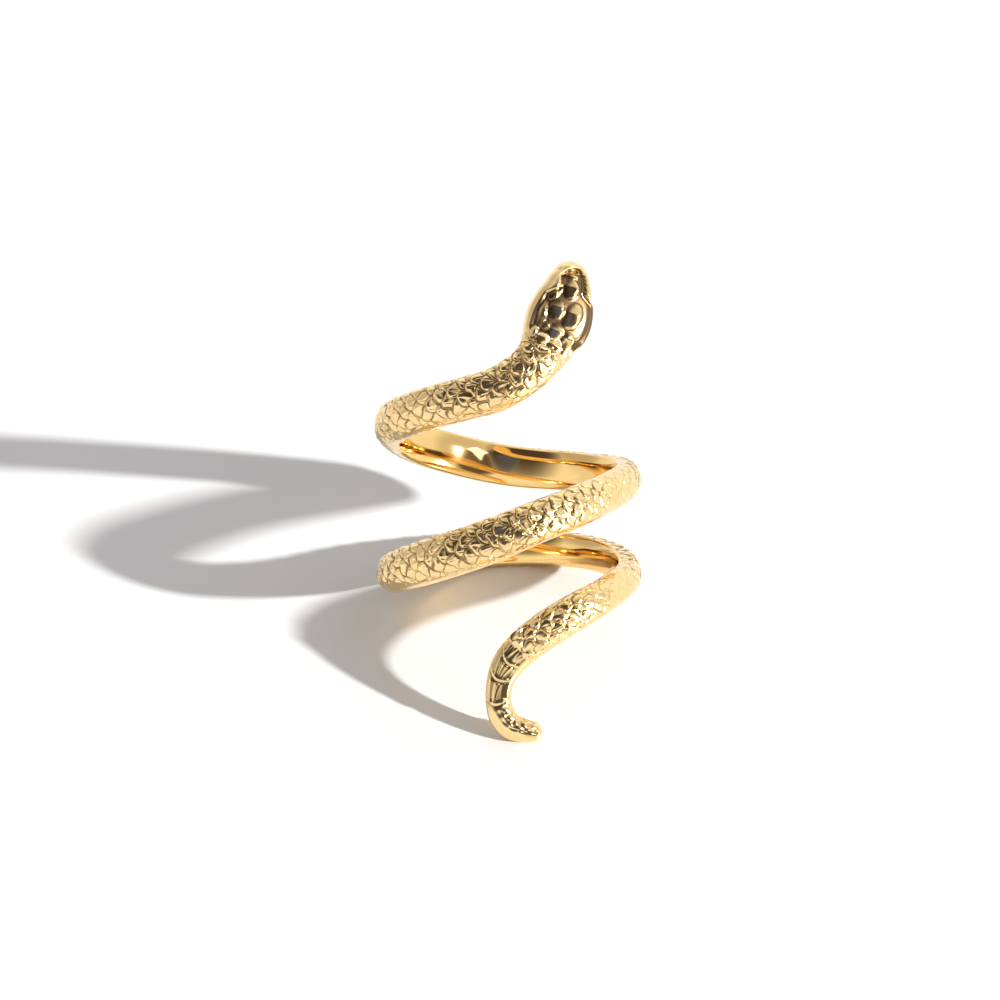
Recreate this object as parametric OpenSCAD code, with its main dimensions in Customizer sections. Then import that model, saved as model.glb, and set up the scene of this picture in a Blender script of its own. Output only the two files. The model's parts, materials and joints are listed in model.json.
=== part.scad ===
// Snake wrap ring, cast in one piece: a scaled snake wound about two turns round the finger,
// with its tail curled at one end of the finger hole and its head laid flat at the other.
// It rests as it would by itself, leaning back on the tail tip and on the back of its first turn,
// which are worn flat by about a fifth of a millimetre where they touch the ground.
// Millimetres, +Z up, +X to the right, +Y away from the side that shows the head.

/* [Finger] */
// Inside diameter of the finger hole
finger_d = 17.3; // [14:0.1:22]
// Depth of the fine cross marks that part the inner wall into lands
land_mark = 0.03; // [0.01:0.01:0.1]
// Angle from one cross mark to the next
land_angle = 60; // [30:5:90]

/* [Body] */
// Share of the listed body width
body_width = 1.0; // [0.8:0.05:1.2]
// Share of the listed body thickness
body_thick = 1.0; // [0.8:0.05:1.2]
// Height of the side edge, where the domed outside meets the inner wall
edge_rise = 0.42; // [0.2:0.02:0.7]
// Width taken from each side of the inner wall by its rounded edge
edge_round = 0.26; // [0.1:0.02:0.6]

/* [Scales] */
// Length of half a body scale
scale_half = 0.66; // [0.4:0.02:1]
// Rise of a body scale above its edges
scale_rise = 0.2; // [0.05:0.01:0.3]
// Shift of a scale's crest towards the tail, so that the scales overlap
scale_lean = 0.16; // [0:0.02:0.3]
// Rise of the tail plates
tail_rise = 0.18; // [0.02:0.01:0.3]
// Length of the tail that has plates in place of scales
tail_plates = 9; // [4:0.5:14]

/* [Head] */
// Length of the head, from the snout to the neck
head_length = 7.2; // [6:0.1:9]
// Spacing of the sections along the head
head_step = 0.24; // [0.2:0.02:0.5]
// Rise of the head plates above the grooves between them
plate_rise = 0.3; // [0.05:0.01:0.4]

/* [Rest] */
// Lean of the finger axis away from upright, as the ring rests
lean = 35.5; // [0:0.1:60]
// Turn of the ring to its side, as it rests
roll = -0.8; // [-20:0.1:20]
// Height of the middle of the finger hole above the ground, 0.2 less than if nothing were worn
mid_height = 9.96; // [5:0.01:25]
// Shift to the right that centres the ring over the origin
mid_right = 0.02; // [-5:0.01:5]
// Shift away that centres the ring over the origin
mid_away = 4.0; // [-5:0.01:10]

/* [Hidden] */
finger_r = finger_d / 2;
wrap_r = finger_r + body_thick * 0.9;
columns = 16;
inner_points = 4;
ring_points = columns + 1 + inner_points;
under = 0.16;
ground_size = 60;
ANGLE = 0;
HEIGHT = 1;
WIDTH = 2;
THICK = 3;
// The snake from tail tip to snout: angle round the finger, height along it, width, thickness
snake = [
    [15.3, -17.95, 0.35, 0.7],
    [14.7, -17.95, 0.9, 0.85],
    [13.1, -17.95, 1.4, 1.05],
    [9.8, -17.9, 1.7, 1.15],
    [5.0, -17.75, 1.95, 1.25],
    [-0.2, -17.45, 2.1, 1.3],
    [-4.0, -16.7, 2.2, 1.35],
    [-6.2, -15.55, 2.15, 1.4],
    [-5.6, -14.2, 2.25, 1.45],
    [-2.6, -12.9, 2.55, 1.5],
    [2.1, -11.9, 2.75, 1.6],
    [8.1, -11.0, 2.85, 1.65],
    [18.6, -9.85, 3.0, 1.7],
    [31, -8.8, 3.0, 1.75],
    [60, -7.15, 2.8, 1.8],
    [90, -6.05, 2.65, 1.8],
    [120, -4.95, 2.6, 1.8],
    [150, -4.3, 2.8, 1.8],
    [180, -4.2, 2.8, 1.8],
    [220, -4.75, 2.85, 1.85],
    [260, -5.8, 2.95, 1.85],
    [300, -5.1, 3.4, 1.85],
    [340, -3.45, 3.55, 1.85],
    [380, -1.05, 3.35, 1.85],
    [420, 0.8, 3.15, 1.85],
    [460, 1.7, 3.1, 1.85],
    [500, 2.1, 3.2, 1.85],
    [540, 2.65, 3.35, 1.85],
    [580, 4.1, 3.4, 1.85],
    [620, 5.8, 3.45, 1.85],
    [660, 7.0, 3.35, 1.85],
    [687, 7.95, 3.35, 1.85],
    [703, 8.55, 3.4, 1.85],
    [715, 9.1, 3.5, 1.85],
    [723.1, 9.8, 3.55, 1.85],
    [730.8, 10.7, 3.65, 1.85],
    [736.9, 11.8, 4.05, 1.9],
    [741.5, 13.0, 5.0, 2.05],
    [745.6, 14.3, 5.5, 2.2],
    [749.1, 15.75, 5.1, 2.15],
    [751.7, 17.2, 3.95, 1.9],
    [752.9, 18.25, 2.8, 1.55],
    [753.2, 18.85, 1.75, 1.25],
    [753.3, 19.1, 0.75, 0.95]
];
// Head plates: distance back from the snout, offset to the side, half length, half width
plates = [
    [2.2, 0.2, 0.85, 0.55],
    [4.25, 0.95, 1.1, 0.58],
    [4.1, -0.45, 1.1, 0.66],
    [5.95, 0.15, 0.6, 0.55],
    [5.0, 1.75, 1.25, 0.4],
    [3.0, 1.45, 0.6, 0.45],
    [6.6, 0.9, 0.6, 0.45],
    [6.4, -0.75, 0.7, 0.5]
];
// Where the sections of the head have their points, as shares of the half width
head_spread = [0, 0.13, 0.27, 0.41, 0.55, 0.69, 0.83, 0.93, 1];
// The inner edges of the rim on the right and left, as shares of the half width, by the snout
snout_well = [-0.5, 0.6];
// The same on the crown, where the rim is narrower
crown_well = [-0.62, 0.85];
// Distance back from the snout at which the well widens
well_step = 2.6;
// Width of the rim across the snout
snout_rim = 0.6;
// Height of the rim, as a share of the plates
rim_height = 0.75;
// Heights of a body scale at its crest, along its sides and in its grooves, as shares of its rise
scale_heights = [0.7, 0.15, -0.4];
// Heights across a ridge of a tail plate, and in the groove between plates, as shares of their rise
ridge_heights = [-0.5, 0, 0.5, 1];
tail_groove = -0.4;
// Stations from one groove of the tail to the next
tail_pitch = 3;

// The same rows unrolled flat: distance round, height, width, thickness
flat = [
    for (r = snake)
        [
            r[ANGLE] * PI / 180 * wrap_r,
            r[HEIGHT],
            r[WIDTH] * body_width,
            r[THICK] * body_thick
        ]
];
last = len(flat) - 1;
function gap(i) = norm([flat[i + 1][0] - flat[i][0], flat[i + 1][1] - flat[i][1]]);
function lengths(i = 0, sum = 0) =
    i > last ? [] : concat([sum], lengths(i + 1, sum + (i < last ? gap(i) : 0)));
run = lengths();
total = run[last];

// Slope of the unrolled rows at row i, weighted by the spans on its two sides
function slope(i) =
    i == 0 ? (flat[1] - flat[0]) / gap(0)
    : i == last ? (flat[last] - flat[last - 1]) / gap(last - 1)
    : ((flat[i] - flat[i - 1]) / gap(i - 1) * gap(i)
        + (flat[i + 1] - flat[i]) / gap(i) * gap(i - 1)) / (gap(i - 1) + gap(i));
slopes = [for (i = [0:last]) slope(i)];
function row_at(s, i = 0) = i >= last - 1 || s < run[i + 1] ? i : row_at(s, i + 1);
function hermite(a, b, ma, mb, t, g) =
    a * (2 * t ^ 3 - 3 * t ^ 2 + 1)
    + ma * g * (t ^ 3 - 2 * t ^ 2 + t)
    + b * (3 * t ^ 2 - 2 * t ^ 3)
    + mb * g * (t ^ 3 - t ^ 2);
// Where the snake is at a length s from the tail tip: distance round, height, width, thickness
function place(s) =
    let (i = row_at(s), g = gap(i))
    hermite(flat[i], flat[i + 1], slopes[i], slopes[i + 1], (s - run[i]) / g, g);

// Stations along the snake: half a scale apart on the body, closer on the head
body_end = total - head_length;
body_steps = round(body_end / scale_half);
head_steps = round(head_length / head_step);
stations = concat(
    [for (i = [0:body_steps - 1]) body_end * i / body_steps],
    [for (i = [0:head_steps]) body_end + head_length * i / head_steps]
);
count = len(stations);

function clamp01(x) = max(0, min(1, x));
// Rise of one head plate at a distance back from the snout and an offset to the side
function plate(p, back, side) =
    sqrt(max(0, 1 - ((back - p[0]) / p[2]) ^ 2 - ((side - p[1]) / p[3]) ^ 2));
function plate_height(back, side) = max([for (p = plates) plate(p, back, side)]);
// The raised rim round the snout and along both sides of the head, broader on its right
function well(back) = back < well_step ? snout_well : crown_well;
function rim(back, share) =
    back < snout_rim || share < well(back)[0] || share > well(back)[1] ? rim_height : 0;
function signed(x, y) = x < 0 ? -y : y;
// Share of the half width at column j: even round the dome of the body, set by the plates on the head
function spread(j, s) =
    let (
        round_share = -cos(180 * j / columns),
        k = j - columns / 2,
        head_share = signed(k, head_spread[abs(k)]),
        blend = clamp01((s - body_end + 1) / 1.2)
    )
    round_share * (1 - blend) + head_share * blend;
// Rise of the outside above its dome, for station i and column j
function rise(i, j, s, side, share, dome) =
    s > body_end
    ? plate_rise * (max(plate_height(total - s, side), rim(total - s, share)) - 0.5)
        * clamp01((total - s) / 0.6) * dome
    : s < tail_plates
    ? tail_rise * (on_groove(i, j) ? tail_groove : ridge_heights[j % 4]) * dome * clamp01(s / 1.5)
    : scale_rise * scale_heights[is_crest(i, j) ? 0 : j % 2 == 1 ? 1 : 2] * dome;
// The tail is plain along its lower side, and grooved across between its plates
function on_groove(i, j) = i % tail_pitch == 0 || j < columns / 4;
// Each scale spans two stations and two columns to either side of its crest
function is_crest(i, j) = j % 2 == 0 && (i + j / 2) % 2 == 0;
// How far the crest of a scale leans towards the tail
function crest(i, j, s) = s > tail_plates && s < body_end && is_crest(i, j) ? -scale_lean : 0;
// A point of the unrolled snake bent round the finger
function bend(u, z, h) =
    let (a = u / wrap_r * 180 / PI)
    [(finger_r + h) * sin(a), -(finger_r + h) * cos(a), z];
// Whether the inner wall has a cross mark at station i, with one in every land_angle round the finger
function mark_at(i) =
    i > 0 && s_turn(i) != s_turn(i - 1) && stations[i] > tail_plates && stations[i] < body_end;
function s_turn(i) = floor(place(stations[i])[0] / wrap_r * 180 / PI / land_angle + 0.5);

// The closed ring of points across the snake at station i: the domed outside, then the inner side
function section(i) =
    let (
        s = stations[i],
        p = place(s),
        ahead = place(min(s + 0.05, total)),
        behind = place(max(s - 0.05, 0)),
        step = [ahead[0] - behind[0], ahead[1] - behind[1]],
        d = step / norm(step),
        half = p[2] / 2,
        edge = min(edge_rise, 0.4 * p[3]),
        inset = min(edge_round, 0.25 * p[2]),
        floor_h = mark_at(i) ? land_mark : -under
    )
    concat(
        [
            for (j = [0:columns])
                let (
                    share = spread(j, s),
                    side = half * share,
                    lift = max(0, 1 - share ^ 2) ^ 0.43,
                    along = crest(i, j, s) * lift,
                    h = edge + (p[3] - edge) * lift + rise(i, j, s, side, share, lift)
                )
                bend(p[0] + d[0] * along - d[1] * side, p[1] + d[1] * along + d[0] * side, h)
        ],
        [
            for (k = [0:inner_points - 1])
                let (side = (half - inset) * (1 - 2 * k / (inner_points - 1)))
                bend(p[0] - d[1] * side, p[1] + d[0] * side, floor_h)
        ]
    );

sections = [for (i = [0:count - 1]) section(i)];
// Middle of the box round a section, the point that closes an end of the snake
function middle(v) = [
    for (c = [0:2])
        let (column = [for (p = v) p[c]])
        (min(column) + max(column)) / 2
];
tail_pole = middle(sections[0]);
snout_pole = middle(sections[count - 1]);
points = concat([for (s = sections) each s], [tail_pole, snout_pole]);
first_pole = count * ring_points;
last_pole = first_pole + 1;
function at(i, j) = i * ring_points + j % ring_points;
faces = concat(
    [
        for (i = [0:count - 2], j = [0:ring_points - 1])
            each (
                (i + j) % 2 == 0
                ? [[at(i, j), at(i, j + 1), at(i + 1, j)], [at(i + 1, j), at(i, j + 1), at(i + 1, j + 1)]]
                : [[at(i, j), at(i, j + 1), at(i + 1, j + 1)], [at(i, j), at(i + 1, j + 1), at(i + 1, j)]]
            )
    ],
    [for (j = [0:ring_points - 1]) [first_pole, at(0, j + 1), at(0, j)]],
    [for (j = [0:ring_points - 1]) [last_pole, at(count - 1, j), at(count - 1, j + 1)]]
);

// The wound snake before its finger hole is bored true
module wound_snake() {
    polyhedron(points = points, faces = faces, convexity = 10);
}

// Leans what it holds as the ring rests
module resting() {
    translate([mid_right, mid_away, mid_height])
    rotate([-lean, roll, 0])
    children();
}

// The whole cast ring, bored for the finger and worn flat where it touches the ground
module snake_band() {
    color([0.93, 0.72, 0.35])
    difference() {
        resting() wound_snake();
        resting()
        translate([0, 0, -30])
        cylinder(r = finger_r, h = 60, $fn = 120);
        translate([-ground_size / 2, -ground_size / 2, -ground_size])
        cube(ground_size);
    }
}

snake_band();
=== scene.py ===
"""Dresses the snake wrap ring: one gold casting on a pale floor, in a low sun and soft light.

The snake is a long grid that is bent round the finger along the same rows as the solid. Its outside
carries overlapping scales, ridged tail plates and a shielded head, all of them real relief.
"""
from __future__ import annotations

import json
import logging
import math
from dataclasses import dataclass, field
from enum import Enum

import bmesh
import bpy
from mathutils import Matrix, Vector

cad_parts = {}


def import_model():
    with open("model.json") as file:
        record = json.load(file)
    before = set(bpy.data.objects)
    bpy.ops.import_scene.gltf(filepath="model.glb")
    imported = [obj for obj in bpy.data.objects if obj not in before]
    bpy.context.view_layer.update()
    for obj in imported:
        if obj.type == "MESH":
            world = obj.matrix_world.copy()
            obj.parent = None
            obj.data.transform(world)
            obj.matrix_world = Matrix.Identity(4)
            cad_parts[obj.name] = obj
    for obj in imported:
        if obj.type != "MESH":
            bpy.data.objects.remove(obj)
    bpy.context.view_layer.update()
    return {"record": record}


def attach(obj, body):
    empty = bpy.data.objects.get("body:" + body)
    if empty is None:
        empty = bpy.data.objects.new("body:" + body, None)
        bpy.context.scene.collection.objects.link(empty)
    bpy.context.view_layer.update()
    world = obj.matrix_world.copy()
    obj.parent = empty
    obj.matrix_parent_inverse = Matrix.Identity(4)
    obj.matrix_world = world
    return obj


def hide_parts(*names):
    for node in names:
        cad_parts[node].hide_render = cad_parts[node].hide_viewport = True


LOG = logging.getLogger("snake_ring")
MM = 0.001
WELD = 0.0005  # millimetres: points closer than this become one

Row = tuple[float, float, float, float]
Colour = tuple[float, float, float]
Span = tuple[float, float]  # where a rise starts and ends, or a hump's middle and its width


def clamp(value: float, low: float = 0.0, high: float = 1.0) -> float:
    """Returns value, held between low and high."""
    return max(low, min(high, value))


def smooth_step(low: float, high: float, value: float) -> float:
    """Rises smoothly from 0 to 1.

    Args:
        low: where the rise starts.
        high: where the rise ends.
        value: where it is read.

    Returns:
        0 before low, 1 after high, and a smooth curve between them.
    """
    t = clamp((value - low) / (high - low))
    return t * t * (3 - 2 * t)


def bell(value: float, middle: float, width: float) -> float:
    """Returns a smooth hump of height 1 at middle that has faded two widths away."""
    return math.exp(-(((value - middle) / width) ** 2))


def add_object(name: str, data: bpy.types.ID) -> bpy.types.Object:
    """Makes an object and links it to the scene.

    Args:
        name: the object's name.
        data: its mesh, light or camera.

    Returns:
        The object, at the origin.
    """
    made = bpy.data.objects.new(name, data)
    bpy.context.scene.collection.objects.link(made)
    return made


def finished_mesh(name: str, shaper: bmesh.types.BMesh) -> bpy.types.Mesh:
    """Returns a mesh made of what the shaper holds, and frees the shaper."""
    mesh = bpy.data.meshes.new(name)
    shaper.to_mesh(mesh)
    shaper.free()
    return mesh


class Slot(Enum):
    """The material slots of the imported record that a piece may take."""

    GOLD = "gold"


class Zone(Enum):
    """The stretches of the snake that have a relief of their own."""

    TAIL = "tail"
    BODY = "body"
    HEAD = "head"


@dataclass(frozen=True)
class Station:
    """One cross-section of the snake, on the cylinder unrolled flat. Sizes in millimetres."""

    run: float
    round: float
    height: float
    width: float
    thick: float
    along_round: float
    along_height: float


@dataclass
class SnakePath:
    """The line that the snake follows round the finger, from its tail tip to its snout."""

    finger_radius: float = 8.65
    wrap_radius: float = 9.55
    reading_step: float = 0.05
    rows: tuple[Row, ...] = (
        (15.3, -17.95, 0.35, 0.7),
        (14.7, -17.95, 0.9, 0.85),
        (13.1, -17.95, 1.4, 1.05),
        (9.8, -17.9, 1.7, 1.15),
        (5.0, -17.75, 1.95, 1.25),
        (-0.2, -17.45, 2.1, 1.3),
        (-4.0, -16.7, 2.2, 1.35),
        (-6.2, -15.55, 2.15, 1.4),
        (-5.6, -14.2, 2.25, 1.45),
        (-2.6, -12.9, 2.55, 1.5),
        (2.1, -11.9, 2.75, 1.6),
        (8.1, -11.0, 2.85, 1.65),
        (18.6, -9.85, 3.0, 1.7),
        (31, -8.8, 3.0, 1.75),
        (60, -7.15, 2.8, 1.8),
        (90, -6.05, 2.65, 1.8),
        (120, -4.95, 2.6, 1.8),
        (150, -4.3, 2.8, 1.8),
        (180, -4.2, 2.8, 1.8),
        (220, -4.75, 2.85, 1.85),
        (260, -5.8, 2.95, 1.85),
        (300, -5.1, 3.4, 1.85),
        (340, -3.45, 3.55, 1.85),
        (380, -1.05, 3.35, 1.85),
        (420, 0.8, 3.15, 1.85),
        (460, 1.7, 3.1, 1.85),
        (500, 2.1, 3.2, 1.85),
        (540, 2.65, 3.35, 1.85),
        (580, 4.1, 3.4, 1.85),
        (620, 5.8, 3.45, 1.85),
        (660, 7.0, 3.35, 1.85),
        (687, 7.95, 3.35, 1.85),
        (703, 8.55, 3.4, 1.85),
        (715, 9.1, 3.5, 1.85),
        (723.1, 9.8, 3.55, 1.85),
        (730.8, 10.7, 3.65, 1.85),
        (736.9, 11.8, 4.05, 1.9),
        (741.5, 13.0, 5.0, 2.05),
        (745.6, 14.3, 5.5, 2.2),
        (749.1, 15.75, 5.1, 2.15),
        (751.7, 17.2, 3.95, 1.9),
        (752.9, 18.25, 2.8, 1.55),
        (753.2, 18.85, 1.75, 1.25),
        (753.3, 19.1, 0.75, 0.95),
    )
    flat: list[Vector] = field(init=False)
    spans: list[float] = field(init=False)
    runs: list[float] = field(init=False)
    slopes: list[Vector] = field(init=False)

    def __post_init__(self) -> None:
        """Unrolls the rows and works out the length and slope at each of them."""
        self.flat = [
            Vector((math.radians(angle) * self.wrap_radius, height, width, thick))
            for angle, height, width, thick in self.rows
        ]
        self.spans = [(b - a).xy.length for a, b in zip(self.flat, self.flat[1:])]
        self.runs = [0.0]
        for span in self.spans:
            self.runs.append(self.runs[-1] + span)
        steps = [(b - a) / span for a, b, span in zip(self.flat, self.flat[1:], self.spans)]
        self.slopes = [steps[0]]
        for before, after, left, right in zip(steps, steps[1:], self.spans, self.spans[1:]):
            self.slopes.append((before * right + after * left) / (left + right))
        self.slopes.append(steps[-1])

    @property
    def total(self) -> float:
        """Returns the snake's whole length along its unrolled line."""
        return self.runs[-1]

    def place(self, run: float) -> Vector:
        """Reads the line at a length from the tail tip.

        Args:
            run: the length from the tail tip.

        Returns:
            Distance round the finger, height along it, width and thickness.
        """
        last = len(self.spans) - 1
        row = 0
        while row < last and run >= self.runs[row + 1]:
            row += 1
        span = self.spans[row]
        t = (run - self.runs[row]) / span
        return (
            self.flat[row] * (2 * t**3 - 3 * t**2 + 1)
            + self.slopes[row] * span * (t**3 - 2 * t**2 + t)
            + self.flat[row + 1] * (3 * t**2 - 2 * t**3)
            + self.slopes[row + 1] * span * (t**3 - t**2)
        )

    def station(self, run: float) -> Station:
        """Returns the cross-section at a length from the tail tip, with the way it faces."""
        here = self.place(run)
        ahead = self.place(min(run + self.reading_step, self.total))
        behind = self.place(max(run - self.reading_step, 0.0))
        way = (ahead - behind).xy.normalized()
        return Station(run, here[0], here[1], here[2], here[3], way.x, way.y)

    def bend(self, station: Station, side: float, height: float, lean: float = 0.0) -> Vector:
        """Bends a point of the unrolled snake round the finger.

        Args:
            station: the cross-section that the point belongs to.
            side: offset across the snake, towards the head's end of the finger.
            height: height over the inner wall.
            lean: offset along the snake.

        Returns:
            The point, in millimetres, with the finger's axis upright.
        """
        around = station.round + station.along_round * lean - station.along_height * side
        upward = station.height + station.along_height * lean + station.along_round * side
        angle = around / self.wrap_radius
        radius = self.finger_radius + height
        return Vector((radius * math.sin(angle), -radius * math.cos(angle), upward))


@dataclass(frozen=True)
class ScaleCoat:
    """The overlapping scales of the body, on a lattice of half scales.

    Places of the lattice whose two whole numbers add up to an even one are the middles of scales.
    Each scale lies over those on its tail side, and has its free rounded edge there.
    """

    half_length: float = 0.66
    rows: int = 8
    reach: float = 1.34
    spread: float = 1.08
    edge: float = 0.08
    tilt: float = 0.075
    dome: float = 0.17
    lip: float = 0.06
    lip_place: Span = (0.78, 0.17)
    keel: float = 0.05
    keel_across: Span = (0.05, 0.16)
    keel_along: Span = (0.0, 0.9)
    low_share: float = 0.34
    low_fade: Span = (1.6, 3.4)
    pillow_run: float = 22.0
    pillow_fade: float = 4.0
    pillow_dome: float = 0.31
    pillow_power: float = 2.4
    worn_angle: float = 62.0
    worn_width: float = 30.0
    worn_share: float = 0.72
    unevenness: float = 0.15

    def uneven(self, along: float, across: float) -> tuple[float, float]:
        """Shifts a place on the lattice a little, so that no two scales are quite alike.

        Args:
            along: place along the body, in half scales.
            across: place across the body, in half scales.

        Returns:
            The shifted place.
        """
        ahead = math.sin(1.7 * along + 2.3 * across)
        ahead += 0.7 * math.sin(3.1 * along - 1.9 * across + 1)
        aside = math.sin(1.3 * along - 2.9 * across + 2)
        aside += 0.6 * math.sin(2.6 * along + 3.3 * across)
        return along + self.unevenness * ahead, across + self.unevenness * aside

    def boldness(self, across: float, angle: float) -> float:
        """Works out how strong the relief is.

        Args:
            across: the column; the relief is weaker on the tail's side of the body.
            angle: degrees round the finger; each turn is worn smoother on its right.

        Returns:
            The share of the full relief.
        """
        upper = smooth_step(*self.low_fade, across)
        from_worn = (angle - self.worn_angle + 180) % 360 - 180
        worn = self.worn_share * bell(from_worn, 0.0, self.worn_width)
        return (self.low_share + (1 - self.low_share) * upper) * (1 - worn)

    def top(self, back: float, side: float, spread: float, pillow: float) -> float:
        """Works out the top of one scale.

        Args:
            back: place along the scale, in half scales, negative towards its free edge.
            side: place across the scale, in half scales.
            spread: 0 at the scale's middle and 1 at its edge.
            pillow: 1 for the plump scales near the tail, and 0 for the leaf shapes of the body.

        Returns:
            The height in millimetres.
        """
        leaf = self.dome * (1 - (side / self.spread) ** 2) - self.tilt * back
        keel = self.keel * bell(side, *self.keel_across) * bell(back, *self.keel_along)
        leaf += self.lip * bell(spread, *self.lip_place) + keel
        rounded = 1 - min(1.0, spread) ** self.pillow_power
        plump = self.pillow_dome * rounded - 0.5 * self.tilt * back
        return leaf + (plump - leaf) * pillow

    def height(self, run: float, along: float, across: float, boldness: float) -> float:
        """Works out the coat's height at a place on the lattice.

        Args:
            run: length from the tail tip, in millimetres.
            along: place along the body, in half scales.
            across: place across the body, from 0 at the tail's side to rows at the head's side.
            boldness: the share of the full relief.

        Returns:
            The height in millimetres.
        """
        past_pillows = run - self.pillow_run
        pillow = 1 - smooth_step(-self.pillow_fade, self.pillow_fade, past_pillows)
        ahead = (along + across) / 2 % 1.0
        beside = (along - across) / 2 % 1.0
        height = 0.0
        for i, j in ((0, 0), (0, 1), (1, 0), (1, 1)):
            back = ahead + beside - i - j
            side = ahead - beside - i + j
            spread = math.hypot(back / self.reach, side / self.spread)
            cover = 1 - smooth_step(1 - self.edge, 1 + self.edge, spread)
            height += (boldness * self.top(back, side, spread, pillow) - height) * cover
        return height


@dataclass(frozen=True)
class Fan:
    """A set of ridges on a tail plate, close together at its tail end and open at its other end."""

    start: float
    end: float
    side: float
    pitch: float
    ridges: int
    closed_share: float = 0.35
    end_fade: float = 0.12

    def height(self, run: float, side: float) -> float:
        """Returns the share of a ridge's height at a place on the tail, from 0 to 1."""
        if not self.start < run < self.end:
            return 0.0
        open_share = (run - self.start) / (self.end - self.start)
        pitch = self.pitch * (self.closed_share + (1 - self.closed_share) * open_share)
        phase = (side - self.side) / pitch
        if abs(phase) > self.ridges / 2:
            return 0.0
        ends = smooth_step(0, self.end_fade, open_share)
        ends *= smooth_step(0, self.end_fade, 1 - open_share)
        return ends * (0.5 - 0.5 * math.cos(2 * math.pi * (phase + self.ridges / 2)))


@dataclass(frozen=True)
class TailPlates:
    """The tail's relief: fanned plates above, a smooth outer face and small cells at the tip."""

    length: float = 9.5
    rise: float = 0.1
    groove: float = 0.06
    lip: float = 0.06
    bow: float = 0.5
    joints: tuple[float, ...] = (4.6, 6.5, 8.0, 9.45)
    joint_width: float = 0.06
    lip_offset: float = 0.2
    lip_width: float = 0.13
    fans: tuple[Fan, ...] = (
        Fan(4.6, 6.5, 0.4, 0.62, 2),
        Fan(6.5, 8.0, 0.2, 0.38, 4),
        Fan(8.0, 9.45, 0.62, 0.3, 3),
        Fan(8.0, 9.45, -0.2, 0.3, 3),
    )
    plates_fade: Span = (4.2, 4.7)
    plates_side: Span = (-0.8, -0.55)
    ridge_level: float = 0.55
    tip_side: Span = (-0.2, 0.0)
    tip_seam: Span = (0.06, 0.09)
    tip_rise: float = 0.035
    cell_depth: float = 0.04
    cell_pitch: float = 0.8
    cell_width: float = 0.95

    def plates(self, run: float, side: float) -> float:
        """Returns the relief of the fanned plates, in millimetres."""
        bowed = run - self.bow * side * side
        joint = max(bell(bowed, joint, self.joint_width) for joint in self.joints)
        lip = max(bell(bowed, joint + self.lip_offset, self.lip_width) for joint in self.joints)
        inside = smooth_step(*self.plates_side, side)
        ridge = max(fan.height(bowed, side) for fan in self.fans)
        fanned = self.rise * (ridge - self.ridge_level)
        return inside * (fanned + self.lip * lip - self.groove * joint)

    def tip(self, run: float, side: float) -> float:
        """Returns the relief of the tip, smooth on its outer face and in cells on the inner one."""
        seam = bell(side, *self.tip_seam)
        row = math.cos(2 * math.pi * run / self.cell_pitch)
        cells = row * math.cos(2 * math.pi * (side + 0.5) / self.cell_width)
        inner = 1 - smooth_step(*self.tip_side, side)
        faces = self.tip_rise * (1 - inner) + inner * self.cell_depth * cells
        return faces - self.groove * seam * (0.6 + 0.4 * row)

    def height(self, run: float, side: float) -> float:
        """Returns the tail's relief, in millimetres."""
        upper = smooth_step(*self.plates_fade, run)
        return self.tip(run, side) * (1 - upper) + self.plates(run, side) * upper


@dataclass(frozen=True)
class Shield:
    """One plate of the head: its middle back from the snout and to the left, and its half sizes.

    Its top leans, lower on the left, and falls from a low ridge both to its back and its front.
    """

    back: float
    side: float
    half_length: float
    half_width: float
    rise: float = 0.24
    slant: float = 0.0
    lean: float = -0.4
    pitch: float = -0.5
    bevel: float = 0.95
    ridge: float = -0.22
    shoulder: float = 0.78
    foot: float = 1.08

    def height(self, back: float, side: float) -> float:
        """Returns the plate's height at a place on the head, or 0 outside it."""
        away = back - self.back
        across = side - self.side - self.slant * away
        spread = math.hypot(away / self.half_length, across / self.half_width)
        if spread >= self.foot:
            return 0.0
        flat = 1 - smooth_step(self.shoulder, self.foot, spread)
        past = away / self.half_length - self.ridge
        slope = self.lean * across / self.half_width
        slope += self.pitch * max(past, 0.0) + self.bevel * min(past, 0.0)
        return self.rise * flat * (1 + slope)


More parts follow.
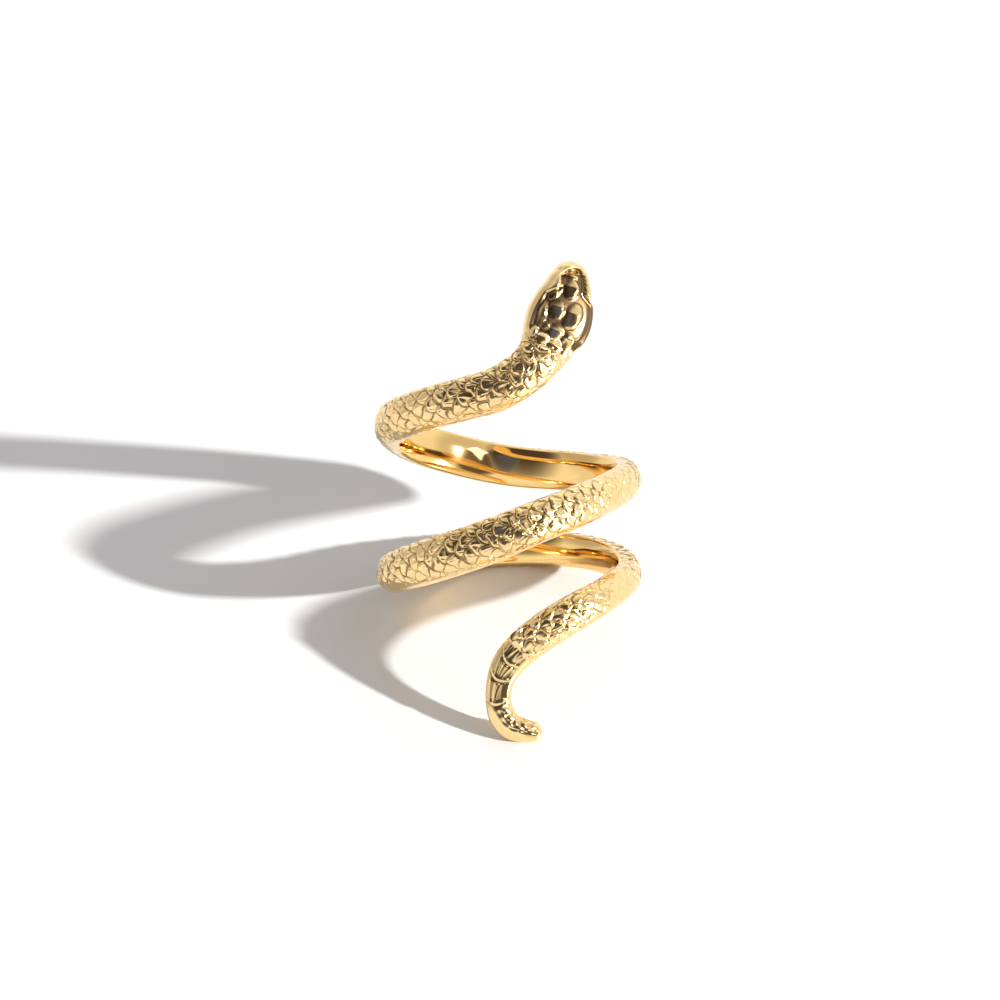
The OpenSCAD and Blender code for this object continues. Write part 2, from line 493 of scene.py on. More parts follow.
@dataclass(frozen=True)
class HeadShields:
    """The head's relief: a smooth rim round a sunk crown that holds pillowed plates."""

    length: float = 7.8
    depth: float = 0.14
    rim: float = 0.1
    right_rim: float = 0.1
    right_side: Span = (0.3, 1.0)
    right_rim_fade: Span = (0.75, 1.0)
    trench: float = 0.12
    trench_place: Span = (0.17, 0.11)
    right_trench: float = 0.34
    right_trench_place: Span = (0.36, 0.22)
    front_trench: float = 0.1
    front_trench_place: Span = (0.85, 0.16)
    jaw_line: float = 0.05
    jaw_place: Span = (0.9, 0.035)
    jaw_fade: Span = (2.4, 3.2)
    tilt: float = 0.2
    flatten: float = 0.09
    sink: float = 0.05
    plane_start: Span = (0.5, 1.8)
    plane_end: Span = (5.6, 7.0)
    neck_fade: Span = (6.2, 7.3)
    snout_left: float = 1.2
    snout_right: float = 1.05
    left_widening: Span = (2.1, 3.2)
    right_widening: Span = (2.3, 3.2)
    front: float = 0.48
    crown_edge: Span = (-0.05, 0.16)
    shields: tuple[Shield, ...] = (
        Shield(1.3, 0.2, 0.2, 0.4, 0.14),
        Shield(2.3, 0.34, 0.92, 0.57, 0.26, 0.0, -0.6),
        Shield(2.1, 1.04, 0.75, 0.15, 0.2, 0.12),
        Shield(4.3, 0.98, 1.12, 0.58, 0.26, -0.05, -0.36),
        Shield(4.4, -0.33, 1.12, 0.57, 0.24, 0.05, -0.6),
        Shield(3.05, 1.6, 0.66, 0.42, 0.2, 0.25),
        Shield(5.0, 1.85, 1.4, 0.32, 0.22, -0.16),
        Shield(6.05, 0.35, 0.68, 0.54, 0.26),
        Shield(5.85, 1.2, 0.42, 0.3, 0.2),
        Shield(6.95, 0.95, 0.6, 0.46, 0.24),
        Shield(7.1, -0.15, 0.62, 0.48, 0.24),
        Shield(6.2, -0.85, 0.7, 0.42, 0.2, -0.2),
        Shield(6.9, -1.2, 0.6, 0.4, 0.18),
        Shield(6.7, 1.8, 0.7, 0.34, 0.2, -0.15),
    )

    def crown(self, back: float, side: float, half: float) -> float:
        """Returns how far inside the sunk crown a place lies, negative on the rim."""
        widen_left = (0.85 * half - self.snout_left) * smooth_step(*self.left_widening, back)
        widen_right = (0.8 * half - self.snout_right) * smooth_step(*self.right_widening, back)
        left = min(0.9 * half, self.snout_left + widen_left)
        right = min(0.85 * half, self.snout_right + widen_right)
        past_front = back - self.front - 0.5 * side * side
        return min(past_front, left - side, right + side)

    def inside(self, into: float) -> float:
        """Returns 1 in the crown and 0 on the rim, from how far inside the crown a place lies."""
        return smooth_step(*self.crown_edge, into)

    def plane(self, back: float, side: float) -> float:
        """Returns the crown's height over the dome: it is flatter, and lower on the left."""
        share = smooth_step(*self.plane_start, back) * (1 - smooth_step(*self.plane_end, back))
        return share * (self.flatten * side * side - self.tilt * side - self.sink)

    def raised(self, back: float, side: float, half: float) -> float:
        """Returns how far the crown's plane lifts a place that is inside the rim."""
        return self.inside(self.crown(back, side, half)) * max(0.0, self.plane(back, side))

    def height(self, back: float, side: float, half: float) -> float:
        """Works out the head's relief.

        Args:
            back: distance back from the snout.
            side: offset to the left of the head's middle line.
            half: half of the head's width there.

        Returns:
            The height in millimetres.
        """
        into = self.crown(back, side, half)
        inside = self.inside(into)
        head = 1 - smooth_step(*self.neck_fade, back)
        plates = max(shield.height(back, side) for shield in self.shields)
        right = smooth_step(*self.right_side, -side)
        trench = self.trench * bell(into, *self.trench_place)
        trench += self.front_trench * bell(back, *self.front_trench_place) * inside
        trench += self.right_trench * right * bell(into, *self.right_trench_place)
        right_rim = self.right_rim * right * (1 - smooth_step(*self.right_rim_fade, -side / half))
        rim = self.rim + right_rim
        jaw = self.jaw_line * bell(side / half, *self.jaw_place) * smooth_step(*self.jaw_fade, back)
        crown = plates - head * self.depth + self.plane(back, side)
        return inside * crown + head * ((1 - inside) * rim - trench) - jaw


class Sock:
    """Wraps a shader socket, so that maths on it can be written as plain expressions."""

    def __init__(self, shader: "Shader", socket: bpy.types.NodeSocket) -> None:
        """Keeps the shader that makes nodes and the socket that feeds them."""
        self.shader = shader
        self.socket = socket

    def _maths(self, kind: str, *values: "Sock | float") -> "Sock":
        """Returns the result of one Math node."""
        return self.shader.node("ShaderNodeMath", {"operation": kind}, dict(enumerate(values)))

    def __add__(self, other: "Sock | float") -> "Sock":
        """Returns self + other."""
        return self._maths("ADD", self, other)

    __radd__ = __add__

    def __mul__(self, other: "Sock | float") -> "Sock":
        """Returns self * other."""
        return self._maths("MULTIPLY", self, other)

    __rmul__ = __mul__

    def __sub__(self, other: "Sock | float") -> "Sock":
        """Returns self - other."""
        return self._maths("SUBTRACT", self, other)

    def __rsub__(self, other: float) -> "Sock":
        """Returns other - self."""
        return self._maths("SUBTRACT", other, self)

    def __truediv__(self, other: "Sock | float") -> "Sock":
        """Returns self / other."""
        return self._maths("DIVIDE", self, other)

    def __pow__(self, other: float) -> "Sock":
        """Returns self raised to other."""
        return self._maths("POWER", self, other)

    def fraction(self) -> "Sock":
        """Returns what is left of self above the next lower whole number."""
        return self._maths("FRACT", self)

    def far_from(self, value: float) -> "Sock":
        """Returns the distance between self and a number."""
        return self._maths("ABSOLUTE", self - value)

    def wave(self) -> "Sock":
        """Returns the cosine of self, in radians."""
        return self._maths("COSINE", self)

    def larger(self, other: "Sock") -> "Sock":
        """Returns the larger of self and other."""
        return self._maths("MAXIMUM", self, other)

    def ramp(self, low: float, high: float) -> "Sock":
        """Rises smoothly from 0 at low to 1 at high."""
        return self.shader.node(
            "ShaderNodeMapRange",
            {"interpolation_type": "SMOOTHSTEP"},
            {"Value": self, "From Min": low, "From Max": high},
        )

    def clamped(self) -> "Sock":
        """Returns self, held between 0 and 1."""
        return self.shader.node("ShaderNodeClamp", {}, {"Value": self})


class Shader:
    """Makes the nodes of one material or world."""

    def __init__(self, tree: bpy.types.NodeTree) -> None:
        """Empties the tree that the nodes go into."""
        self.tree = tree
        tree.nodes.clear()

    def node(
        self,
        kind: str,
        settings: dict[str, object] | None = None,
        values: dict[object, object] | None = None,
        output: int | str = 0,
    ) -> Sock:
        """Makes a node, sets it and links it.

        Args:
            kind: the node's type.
            settings: properties to set first.
            values: numbers, colours or wrapped sockets for its inputs, by name or index.
            output: the output to return.

        Returns:
            The chosen output, wrapped, or the first input of a node that has no output.
        """
        made = self.tree.nodes.new(kind)
        for name, value in (settings or {}).items():
            setattr(made, name, value)
        for name, value in (values or {}).items():
            if isinstance(value, Sock):
                self.tree.links.new(value.socket, made.inputs[name])
            else:
                made.inputs[name].default_value = value
        return Sock(self, made.outputs[output] if len(made.outputs) else made.inputs[0])

    def attribute(self, name: str) -> Sock:
        """Returns a number that the piece keeps at each of its points."""
        return self.node("ShaderNodeAttribute", {"attribute_name": name}, output="Fac")

    def part(self, vector: Sock, axis: str) -> Sock:
        """Returns one part of a vector."""
        return self.node("ShaderNodeSeparateXYZ", {}, {0: vector}, axis)

    def noise(self, where: Sock, scale: float, detail: float = 2.0) -> Sock:
        """Returns a noise pattern's value, about 0.5 on average."""
        values = {"Vector": where, "Scale": scale, "Detail": detail}
        return self.node("ShaderNodeTexNoise", {}, values)

    def mix(self, share: Sock | float, low: object, high: object) -> Sock:
        """Returns a blend of two colours, low where share is 0 and high where it is 1."""
        low, high = (value if isinstance(value, Sock) else (*value, 1.0) for value in (low, high))
        values = {0: share, 6: low, 7: high}  # the factor, A and B of a colour mix
        return self.node("ShaderNodeMix", {"data_type": "RGBA"}, values, 2)


@dataclass(frozen=True)
class Seams:
    """The fine dark lines round the scales, read from the same lattice as their relief, and the
    hollows under their edges where a warm reflection is painted.
    """

    thin: float = 0.03
    thick: float = 0.135
    middle: float = 1.04
    veins: float = 15.0
    # width of the fade of the painted warm reflection outside each scale's edge
    crevice: float = 0.36
    turnover: float = 0.03

    def spread(self, coat: ScaleCoat, back: Sock, side: Sock) -> Sock:
        """Returns 0 at a scale's middle and 1 at its edge."""
        along = back * (1 / coat.reach)
        across = side * (1 / coat.spread)
        return (along * along + across * across) ** 0.5

    def line(self, spread: Sock, width: Sock) -> Sock:
        """Returns 1 on a scale's edge, fading to 0 beside it."""
        return 1.0 - (spread.far_from(self.middle) / width).ramp(0.3, 1.0)

    def beside(self, spread: Sock) -> Sock:
        """Returns 1 against the outside of a scale's edge, fading to 0 away from it: where the warm
        reflection is painted.
        """
        return 1.0 - spread.ramp(1.0, 1.0 + self.crevice)

    def build(self, shader: Shader, coat: ScaleCoat, scaled: Sock) -> tuple[Sock, Sock, Sock]:
        """Works out the lines of the lattice.

        Args:
            shader: makes the nodes.
            coat: the scales that the lines go round.
            scaled: the share of the full relief; the lines are wider where it is bolder.

        Returns:
            The lines, from 0 to 1, the fine veins along each scale, and the hollows under edges,
            where a warm reflection is painted.
        """
        lattice = shader.node("ShaderNodeUVMap", {"uv_map": "lattice"})
        along = shader.part(lattice, "X")
        across = shader.part(lattice, "Y")
        ahead = ((along + across) * 0.5).fraction()
        beside = ((along - across) * 0.5).fraction()
        back = ahead + beside
        side = ahead - beside
        upper = self.spread(coat, back - 2.0, side)
        later = self.spread(coat, back - 1.0, side - 1.0)
        sooner = self.spread(coat, back - 1.0, side + 1.0)
        low, high = 1.0 - self.turnover, 1.0 + self.turnover
        past_upper, past_later, past_sooner = (
            spread.ramp(low, high) for spread in (upper, later, sooner)
        )
        width = self.thin + scaled * (self.thick - self.thin)
        lines = self.line(upper, width).larger(self.line(later, width) * past_upper)
        lines = lines.larger(self.line(sooner, width) * past_upper * past_later)
        shift = past_upper * ((1.0 - past_sooner) * past_later - (1.0 - past_later))
        veins = ((side + shift) * self.veins).wave()
        # painted warm reflection: its mask lies just outside each covering scale's edge
        painted_reflection_crevices = self.beside(upper) * past_upper
        painted_reflection_crevices = painted_reflection_crevices.larger(self.beside(later) * past_upper * past_later)
        return lines, veins * (1.0 - lines), painted_reflection_crevices


class Finish:
    """The look of one material."""

    def surface(self, shader: Shader) -> Sock:
        """Makes the look's nodes and returns the surface that they end in."""
        raise NotImplementedError

    def material(self, name: str) -> bpy.types.Material:
        """Builds the material.

        Args:
            name: the material's name.

        Returns:
            The material, with the look's surface as its output.
        """
        made = bpy.data.materials.new(name)
        made.use_nodes = True
        shader = Shader(made.node_tree)
        shader.node("ShaderNodeOutputMaterial", {}, {"Surface": self.surface(shader)})
        return made


@dataclass(frozen=True)
class PlatedGold(Finish):
    """Warm yellow gold plating, mirror bright, darker in the grooves, partly from its own dark
    oxide and partly from painted shade; it also holds a painted warm reflection under the scales'
    edges and a painted darker, more orange reflection on the inner wall.
    """

    bright: Colour = (1.0, 0.765, 0.4)
    deep: Colour = (0.97, 0.7, 0.32)
    # the glow colour is a painted warm reflection: the orange of light bouncing between the scales,
    # painted just outside each scale's edge
    glow: Colour = (1.0, 0.6, 0.2)
    # the inside colour is painted shade and reflection: the inner wall painted darker and more
    # orange for light bouncing between the gold walls
    inside: Colour = (0.9, 0.6, 0.225)
    # the groove colour is dark paint in recesses: partly the plating's own oxide in its grooves,
    # partly painted shade in the head's trenches and hollows
    groove: Colour = (0.09, 0.046, 0.022)
    polish: float = 0.07
    inner_polish: float = 0.06
    cloud_scale: float = 420.0
    break_scale: float = 900.0
    grain_scale: float = 9000.0
    grain: float = 0.05
    vein: float = 0.2
    bump_depth: float = 0.00004
    line_share: float = 0.8
    line_fade: Span = (0.08, 0.62)
    break_fade: Span = (0.4, 0.58)
    painted_reflection_share: float = 0.55
    inner_painted_reflection_share: float = 0.8
    groove_oxide_and_shade_share: float = 0.95
    coat: ScaleCoat = field(default_factory=ScaleCoat)
    seams: Seams = field(default_factory=Seams)

    def surface(self, shader: Shader) -> Sock:
        """Makes gold that reads Object coordinates, the lattice and the piece's attributes."""
        where = shader.node("ShaderNodeTexCoord", output="Object")
        groove = shader.attribute("groove")
        inner = shader.attribute("inner")
        scaled = shader.attribute("scaled")
        lines, veins, painted_reflection_crevices = self.seams.build(shader, self.coat, scaled)
        cloud = shader.noise(where, self.cloud_scale)
        broken = shader.noise(where, self.break_scale).ramp(*self.break_fade)
        lines = lines * scaled.ramp(*self.line_fade) * (0.55 + 0.45 * broken)
        grain = shader.noise(where, self.grain_scale, 3.0)
        dark = (groove + lines * self.line_share).clamped()
        plate = shader.mix(cloud, self.deep, self.bright)
        # painted shade and reflection on the inner wall: darker, more orange gold
        plate = shader.mix(inner * self.inner_painted_reflection_share, plate, self.inside)
        # painted warm reflection: orange painted just outside the scales' edges
        gold = shader.mix(painted_reflection_crevices * scaled * self.painted_reflection_share, plate, self.glow)
        # dark paint in recesses, partly oxide and partly painted shade, together with the dark
        # lines between the scales
        colour = shader.mix(dark * self.groove_oxide_and_shade_share, gold, self.groove)
        rough = self.polish + (cloud - 0.5) * 0.06 + dark * 0.2
        rough = rough - inner * (self.polish - self.inner_polish)
        height = veins * scaled * self.vein - lines + grain * (1.0 - inner) * self.grain
        relief = {"Strength": 1.0, "Distance": self.bump_depth, "Height": height}
        bump = shader.node("ShaderNodeBump", {}, relief)
        return shader.node(
            "ShaderNodeBsdfPrincipled",
            {},
            {"Base Color": colour, "Metallic": 1.0, "Roughness": rough.clamped(), "Normal": bump},
        )


@dataclass(frozen=True)
class WhiteSurface(Finish):
    """The pale, faintly glossy surface that the ring rests on."""

    pale: Colour = (0.672, 0.676, 0.688)
    warm: Colour = (0.687, 0.688, 0.694)
    cloud_scale: float = 6.0
    roughness: float = 0.32
    shine: float = 0.35

    def surface(self, shader: Shader) -> Sock:
        """Makes faint clouds of the two colours, from Object coordinates."""
        where = shader.node("ShaderNodeTexCoord", output="Object")
        cloud = shader.noise(where, self.cloud_scale)
        colour = shader.mix(cloud, self.pale, self.warm)
        return shader.node(
            "ShaderNodeBsdfPrincipled",
            {},
            {"Base Color": colour, "Roughness": self.roughness, "Specular IOR Level": self.shine},
        )


@dataclass
class SnakeBand:
    """The whole ring: the tail, the turns of the body, the neck and the head, in one casting."""

    path: SnakePath = field(default_factory=SnakePath)
    coat: ScaleCoat = field(default_factory=ScaleCoat)
    tail: TailPlates = field(default_factory=TailPlates)
    head: HeadShields = field(default_factory=HeadShields)
    finish: PlatedGold = field(default_factory=PlatedGold)
    edge_rise: float = 0.42
    edge_share: float = 0.4
    edge_round: float = 0.22
    edge_turn: float = 0.3
    dome_power: float = 0.43
    comfort: float = 0.09
    cuts_along: int = 8
    cuts_across: int = 6
    inner_columns: int = 7
    head_step: float = 0.06
    even_columns: float = 0.45
    even_fade: Span = (-1.0, 1.2)
    tail_fade: Span = (-0.2, 0.3)
    head_fade: Span = (0.1, 0.8)
    side_fade: Span = (0.0, 0.7)
    scales_past_neck: float = 0.45
    probe: float = 0.02
    # how deep a recess must be for full dark paint, and how strong it is: partly oxide, partly
    # painted shade
    groove_full: float = 0.11
    groove_oxide_and_shade_strength: float = 0.95
    lean: float = 35.5
    roll: float = -0.8
    middle: tuple[float, float, float] = (0.02, 4.0, 9.96)

    @classmethod
    def from_mount(cls, bore: dict) -> "SnakeBand":
        """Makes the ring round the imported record's finger bore.

        Args:
            bore: the record's bore mount, with its place in metres, its axis and its radius.

        Returns:
            The ring, leaning as the bore does.
        """
        x, y, z = bore["axis"]
        return cls(
            path=SnakePath(finger_radius=bore["dims"]["r_mm"]),
            lean=math.degrees(math.asin(y)),
            roll=math.degrees(math.atan2(x, z)),
            middle=tuple(value / MM for value in bore["pos_m"]),
        )

    @property
    def body_end(self) -> float:
        """Returns the length at which the neck ends and the head starts."""
        return self.path.total - self.head.length

    @property
    def half_length(self) -> float:
        """Returns half a scale's length, fitted to the body."""
        return self.body_end / round(self.body_end / self.coat.half_length)

    def turned(self, station: Station) -> float:
        """Returns how far round the finger a cross-section lies, in degrees."""
        return math.degrees(station.round / self.path.wrap_radius)

    def zone(self, run: float) -> Zone:
        """Returns the stretch of the snake that a length from the tail tip falls in."""
        if run < self.tail.length:
            return Zone.TAIL
        return Zone.BODY if run < self.body_end + self.scales_past_neck else Zone.HEAD

    def runs(self) -> list[float]:
        """Returns the lengths of all the cross-sections, from the tail tip to the snout."""
        halves = round(self.body_end / self.coat.half_length)
        body_cuts = halves * self.cuts_along
        head_cuts = round(self.head.length / self.head_step)
        return [self.body_end * i / body_cuts for i in range(body_cuts)] + [
            self.body_end + self.head.length * i / head_cuts for i in range(head_cuts + 1)
        ]

    def share(self, across: float, run: float) -> float:
        """Returns how far out a column lies, from -1 to 1 of the half width."""
        part = across / self.coat.rows
        even = -math.cos(math.pi * part)
        open_out = smooth_step(*self.even_fade, run - self.body_end)
        return even + self.even_columns * open_out * (2 * part - 1 - even)

    def edge(self, station: Station) -> float:
        """Returns the height of the band's edges over the inner wall."""
        return min(self.edge_rise, self.edge_share * station.thick)

    def profile(self, station: Station, across: float) -> Vector:
        """Returns a point of the plain domed outside: offset to the side, and height."""
        share = self.share(across, station.run)
        edge = self.edge(station)
        lift = max(0.0, 1 - share * share) ** self.dome_power
        return Vector((station.width / 2 * share, edge + (station.thick - edge) * lift))

    def relief(self, station: Station, across: float, side: float) -> float:
        """Works out the relief over the plain dome.

        Args:
            station: the cross-section.
            across: the column, in half scales.
            side: offset from the middle line, in millimetres.

        Returns:
            The height in millimetres.
        """
        run = station.run
        back = self.path.total - run
        tail_share = 1 - smooth_step(*self.tail_fade, run - self.tail.length)
        head_share = smooth_step(*self.head_fade, run - self.body_end)
        height = 0.0
        if tail_share < 1 and head_share < 1:
            boldness = self.coat.boldness(across, self.turned(station))
            along, beside = self.coat.uneven(run / self.half_length, across)
            scales = self.coat.height(run, along, beside, boldness)
            height += scales * (1 - tail_share) * (1 - head_share)
        if tail_share > 0:
            height += tail_share * self.tail.height(run, side) * clamp(run / 0.8)
        if head_share > 0:
            plates = self.head.height(back, side, station.width / 2)
            height += head_share * plates * clamp(back / 0.3)
        return height

    def outer_point(self, station: Station, across: float) -> tuple[Vector, float]:
        """Works out a point of the domed outside.

        Args:
            station: the cross-section.
            across: the column, in half scales.

        Returns:
            The point, and its relief over the dome or, on the head, over the crown's plane.
        """
        here = self.profile(station, across)
        ahead = self.profile(station, min(across + self.probe, float(self.coat.rows)))
        behind = self.profile(station, max(across - self.probe, 0.0))
        way = (ahead - behind).normalized()
        part = across / self.coat.rows
        fade = smooth_step(*self.side_fade, math.sin(math.pi * part))
        relief = self.relief(station, across, here.x) * fade
        point = self.path.bend(station, here.x - way.y * relief, here.y + way.x * relief)
        if self.zone(station.run) is Zone.HEAD:
            relief -= self.head.raised(self.path.total - station.run, here.x, station.width / 2)
        return point, relief

    def inner_point(self, station: Station, part: float) -> Vector:
        """Works out a point of the inner side.

        Args:
            station: the cross-section.
            part: 0 at the edge on the head's side, 1 at the edge on the tail's side.

        Returns:
            The point, on a rounded edge or on the comfort-curved wall between them.
        """
        half = station.width / 2
        edge = self.edge(station)
        turn = min(self.edge_round, 0.25 * station.width)
        from_edge = 0.5 - abs(part - 0.5)
        if from_edge < self.edge_turn:
            angle = math.pi / 2 * from_edge / self.edge_turn
            side = half - turn * (1 - math.cos(angle))
            height = edge - (edge - self.comfort) * math.sin(angle)
        else:
            side = (half - turn) * (from_edge - 0.5) / (self.edge_turn - 0.5)
            height = self.comfort * (side / max(half - turn, 0.01)) ** 2
        return self.path.bend(station, side if part < 0.5 else -side, height)

    def build(self) -> bpy.types.Object:
        """Bends a long grid into the ring.

        Returns:
            The ring, closed along its seam and at both its ends.
        """
        runs = self.runs()
        shaper = bmesh.new()
        shaper.loops.layers.uv.new("lattice")
        for name in ("groove", "inner", "scaled"):
            shaper.verts.layers.float.new(name)
        bmesh.ops.create_grid(
            shaper, x_segments=len(runs) - 1, y_segments=self.columns, size=0.5, calc_uvs=True
        )
        self.place_points(shaper, runs)
        self.place_lattice(shaper, runs)
        self.close_ends(shaper)
        bmesh.ops.remove_doubles(shaper, verts=shaper.verts, dist=WELD)
        bmesh.ops.transform(shaper, matrix=self.rest_matrix(), verts=shaper.verts)
        for vert in shaper.verts:
            vert.co.z = max(vert.co.z, 0.0)
        bmesh.ops.recalc_face_normals(shaper, faces=shaper.faces)
        mesh = finished_mesh("snake_ring", shaper)
        mesh.shade_smooth()
        return add_object("snake_ring", mesh)

    @property
    def outer_columns(self) -> int:
        """Returns the number of the grid's columns on the outside."""
        return self.coat.rows * self.cuts_across

    @property
    def columns(self) -> int:
        """Returns the number of all the grid's columns."""
        return self.outer_columns + self.inner_columns

    def place_points(self, shaper: bmesh.types.BMesh, runs: list[float]) -> None:
        """Moves the grid's points on to the snake and notes the share of each finish there.

        Args:
            shaper: the flat grid, one unit square.
            runs: the lengths of the cross-sections.
        """
        groove, inner, scaled = (
            shaper.verts.layers.float[name] for name in ("groove", "inner", "scaled")
        )
        stations = [self.path.station(run) for run in runs]
        outer, columns = self.outer_columns, self.columns
        for vert in shaper.verts:
            station = stations[round((vert.co.x + 0.5) * (len(runs) - 1))]
            column = round((vert.co.y + 0.5) * columns)
            if column > outer:
                vert.co = self.inner_point(station, (column - outer) / self.inner_columns)
                vert[inner] = 1.0
                continue
            across = column / self.cuts_across
            vert.co, relief = self.outer_point(station, across)
            if self.zone(station.run) is Zone.BODY:
                vert[scaled] = self.coat.boldness(across, self.turned(station))
            else:
                # dark paint by depth below the dome: partly oxide in the grooves, partly painted
                # shade
                vert[groove] = self.groove_oxide_and_shade_strength * clamp(-relief / self.groove_full - 0.25)

    def place_lattice(self, shaper: bmesh.types.BMesh, runs: list[float]) -> None:
        """Turns the grid's even UV map into places on the uneven lattice of half scales.

        Args:
            shaper: the grid.
            runs: the lengths of the cross-sections.
        """
        uv = shaper.loops.layers.uv["lattice"]
        columns, half_length = self.columns, self.half_length
        for face in shaper.faces:
            for loop in face.loops:
                place = loop[uv].uv
                along = runs[round(place.x * (len(runs) - 1))] / half_length
                place.x, place.y = self.coat.uneven(along, place.y * columns / self.cuts_across)

    @staticmethod
    def close_ends(shaper: bmesh.types.BMesh) -> None:
        """Fills the open rings at the tail tip and the snout with fans of faces."""
        bmesh.ops.remove_doubles(shaper, verts=shaper.verts, dist=WELD)
        open_edges = [edge for edge in shaper.edges if edge.is_boundary]
        bmesh.ops.holes_fill(shaper, edges=open_edges, sides=0)
        caps = [face for face in shaper.faces if len(face.verts) > 4]
        bmesh.ops.poke(shaper, faces=caps)

    def rest_matrix(self) -> Matrix:
        """Returns the move from the upright ring in millimetres to the resting ring in metres."""
        return (
            Matrix.Scale(MM, 4)
            @ Matrix.Translation(self.middle)
            @ Matrix.Rotation(math.radians(self.roll), 4, "Y")
            @ Matrix.Rotation(math.radians(-self.lean), 4, "X")
        )

    def dress(self, ring: bpy.types.Object) -> None:
        """Gives the ring its finish and sets it in the frame.

        Args:
            ring: the built piece.
        """
        ring.data.materials.append(self.finish.material("plated_gold"))
        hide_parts("snake_band")
        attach(ring, "root")
        LOG.info("%s: %d faces", ring.name, len(ring.data.polygons))


@dataclass(frozen=True)
class Lobe:
    """A soft round patch of the studio's surroundings, with its place and sizes in degrees."""

    azimuth: float
    elevation: float
    inside: float
    outside: float
    strength: float = 1.0

    def build(self, shader: Shader, where: Sock) -> Sock:
        """Works out the patch.

        Args:
            shader: makes the nodes.
            where: the direction that is looked up.

        Returns:
            The patch's strength in that direction.
        """
        azimuth = math.radians(self.azimuth)
        height = math.tan(math.radians(self.elevation))
        middle = Vector((math.sin(azimuth), -math.cos(azimuth), height)).normalized()
        facing = shader.node(
            "ShaderNodeVectorMath", {"operation": "DOT_PRODUCT"}, {0: where, 1: middle}, "Value"
        )
        outside = math.cos(math.radians(self.outside))
        inside = math.cos(math.radians(self.inside))
        return facing.ramp(outside, inside) * self.strength


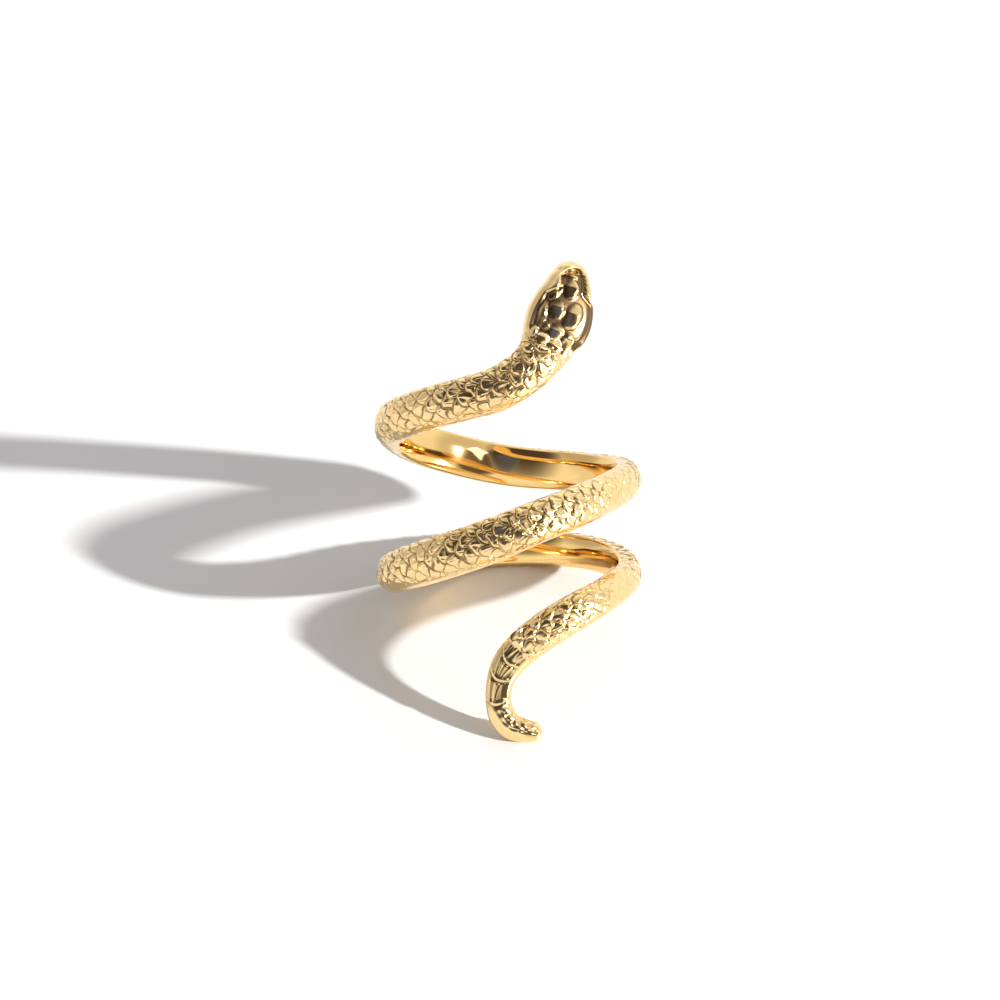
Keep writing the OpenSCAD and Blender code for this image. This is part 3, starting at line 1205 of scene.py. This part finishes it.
@dataclass
class Studio:
    """The floor, the lights and the camera."""

    floor_half: float = 3.0
    surface: WhiteSurface = field(default_factory=WhiteSurface)
    sun_travel: tuple[float, float, float] = (-2.31, 1.117, -1.0)
    sun_strength: float = 8.2
    sun_size: float = 2.2
    sun_colour: Colour = (1.0, 0.985, 0.96)
    fill: Colour = (1.1, 1.09, 1.075)
    shade: Colour = (0.086, 0.064, 0.062)
    window: Colour = (2.7, 2.65, 2.6)
    sky: Colour = (0.12, 0.18, 0.4)
    sky_patch: Lobe = Lobe(2.0, 42.0, 5.0, 17.0, 0.5)
    shades: tuple[Lobe, ...] = (
        Lobe(-32.0, 58.0, 18.0, 52.0),
        Lobe(6.0, 50.0, 14.0, 32.0),
        Lobe(36.0, 20.0, 14.0, 27.0, 0.95),
        Lobe(0.0, 88.0, 14.0, 40.0, 0.5),
        Lobe(28.0, 62.0, 10.0, 24.0, 0.6),
        Lobe(-112.0, 30.0, 15.0, 46.0, 0.52),
        Lobe(72.0, 30.0, 14.0, 40.0, 0.38),
    )
    window_azimuth: tuple[float, float] = (34.0, 60.0)
    window_elevation: tuple[float, float] = (29.0, 44.0)
    window_side_blur: float = 0.03
    window_end_blur: float = 0.02
    ring_middle: tuple[float, float, float] = (0.02, 4.0, 9.96)
    camera_azimuth: float = 0.1
    camera_elevation: float = 37.3
    camera_distance: float = 360.0
    camera_lens: float = 160.5
    aim_right: float = -0.73
    aim_up: float = 0.1

    def build_floor(self) -> bpy.types.Object:
        """Lays the floor and returns it."""
        shaper = bmesh.new()
        bmesh.ops.create_grid(shaper, x_segments=2, y_segments=2, size=self.floor_half)
        floor = add_object("floor", finished_mesh("floor", shaper))
        floor.data.materials.append(self.surface.material("white_surface"))
        return floor

    def view_axes(self) -> tuple[Vector, Vector, Vector]:
        """Returns the camera's directions: where it looks, its right and its up."""
        azimuth = math.radians(self.camera_azimuth)
        elevation = math.radians(self.camera_elevation)
        flat = Vector((math.sin(azimuth), math.cos(azimuth), 0))
        look = flat * math.cos(elevation) - Vector((0, 0, math.sin(elevation)))
        right = look.cross(Vector((0, 0, 1))).normalized()
        return look, right, right.cross(look)

    def build_camera(self) -> None:
        """Sets the camera at the photograph's angle."""
        look, right, up = self.view_axes()
        aim = Vector(self.ring_middle) + right * self.aim_right + up * self.aim_up
        data = bpy.data.cameras.new("camera")
        data.lens = self.camera_lens
        data.sensor_width = 36.0
        data.clip_start = 0.01
        data.clip_end = 50.0
        camera = add_object("camera", data)
        turn = Matrix((right, up, -look)).transposed().to_4x4()
        camera.matrix_world = Matrix.Translation((aim - look * self.camera_distance) * MM) @ turn
        bpy.context.scene.camera = camera

    def build_lights(self) -> None:
        """Sets the low sun and the soft fill all round, with dim patches, a sky and a window."""
        data = bpy.data.lights.new("sun", "SUN")
        data.energy = self.sun_strength
        data.angle = math.radians(self.sun_size)
        data.color = self.sun_colour
        sun = add_object("sun", data)
        sun.rotation_euler = Vector(self.sun_travel).to_track_quat("-Z", "Y").to_euler()
        world = bpy.data.worlds.new("studio")
        world.use_nodes = True
        bpy.context.scene.world = world
        shader = Shader(world.node_tree)
        where = shader.node("ShaderNodeTexCoord", output="Generated")
        dark = self.shades[0].build(shader, where)
        for lobe in self.shades[1:]:
            dark = dark.larger(lobe.build(shader, where))
        window = self.build_window(shader, where)
        around = shader.mix(dark, self.fill, self.shade)
        around = shader.mix(self.sky_patch.build(shader, where), around, self.sky)
        colour = shader.mix(window, around, self.window)
        glow = shader.node("ShaderNodeBackground", {}, {"Color": colour, "Strength": 1.0})
        shader.node("ShaderNodeOutputWorld", {}, {"Surface": glow})
        bpy.context.scene.view_settings.view_transform = "Standard"

    def build_window(self, shader: Shader, where: Sock) -> Sock:
        """Returns 1 where a direction is in the bright window beside the sun, and 0 outside it."""
        height = shader.part(where, "Z")
        turn = shader.node(
            "ShaderNodeMath",
            {"operation": "ARCTAN2"},
            {0: shader.part(where, "X"), 1: shader.part(where, "Y") * -1.0},
        )
        left, right = (math.radians(value) for value in self.window_azimuth)
        low, high = (math.sin(math.radians(value)) for value in self.window_elevation)
        blur = self.window_side_blur
        wide = turn.ramp(left, left + blur) * (1.0 - turn.ramp(right - blur, right))
        blur = self.window_end_blur
        tall = height.ramp(low, low + blur) * (1.0 - height.ramp(high - blur, high))
        return wide * tall

    def build(self) -> None:
        """Builds the floor, the lights and the camera."""
        self.build_floor()
        self.build_lights()
        self.build_camera()


def main() -> None:
    """Builds the ring and the studio."""
    logging.basicConfig(level=logging.INFO, format="%(name)s %(message)s")
    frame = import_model()
    bore = next(mount for mount in frame["record"]["mounts"] if mount["kind"] == "bore")
    band = SnakeBand.from_mount(bore)
    band.dress(band.build())
    Studio(ring_middle=band.middle).build()
    LOG.info("sizes written")


if __name__ == "__main__":
    main()
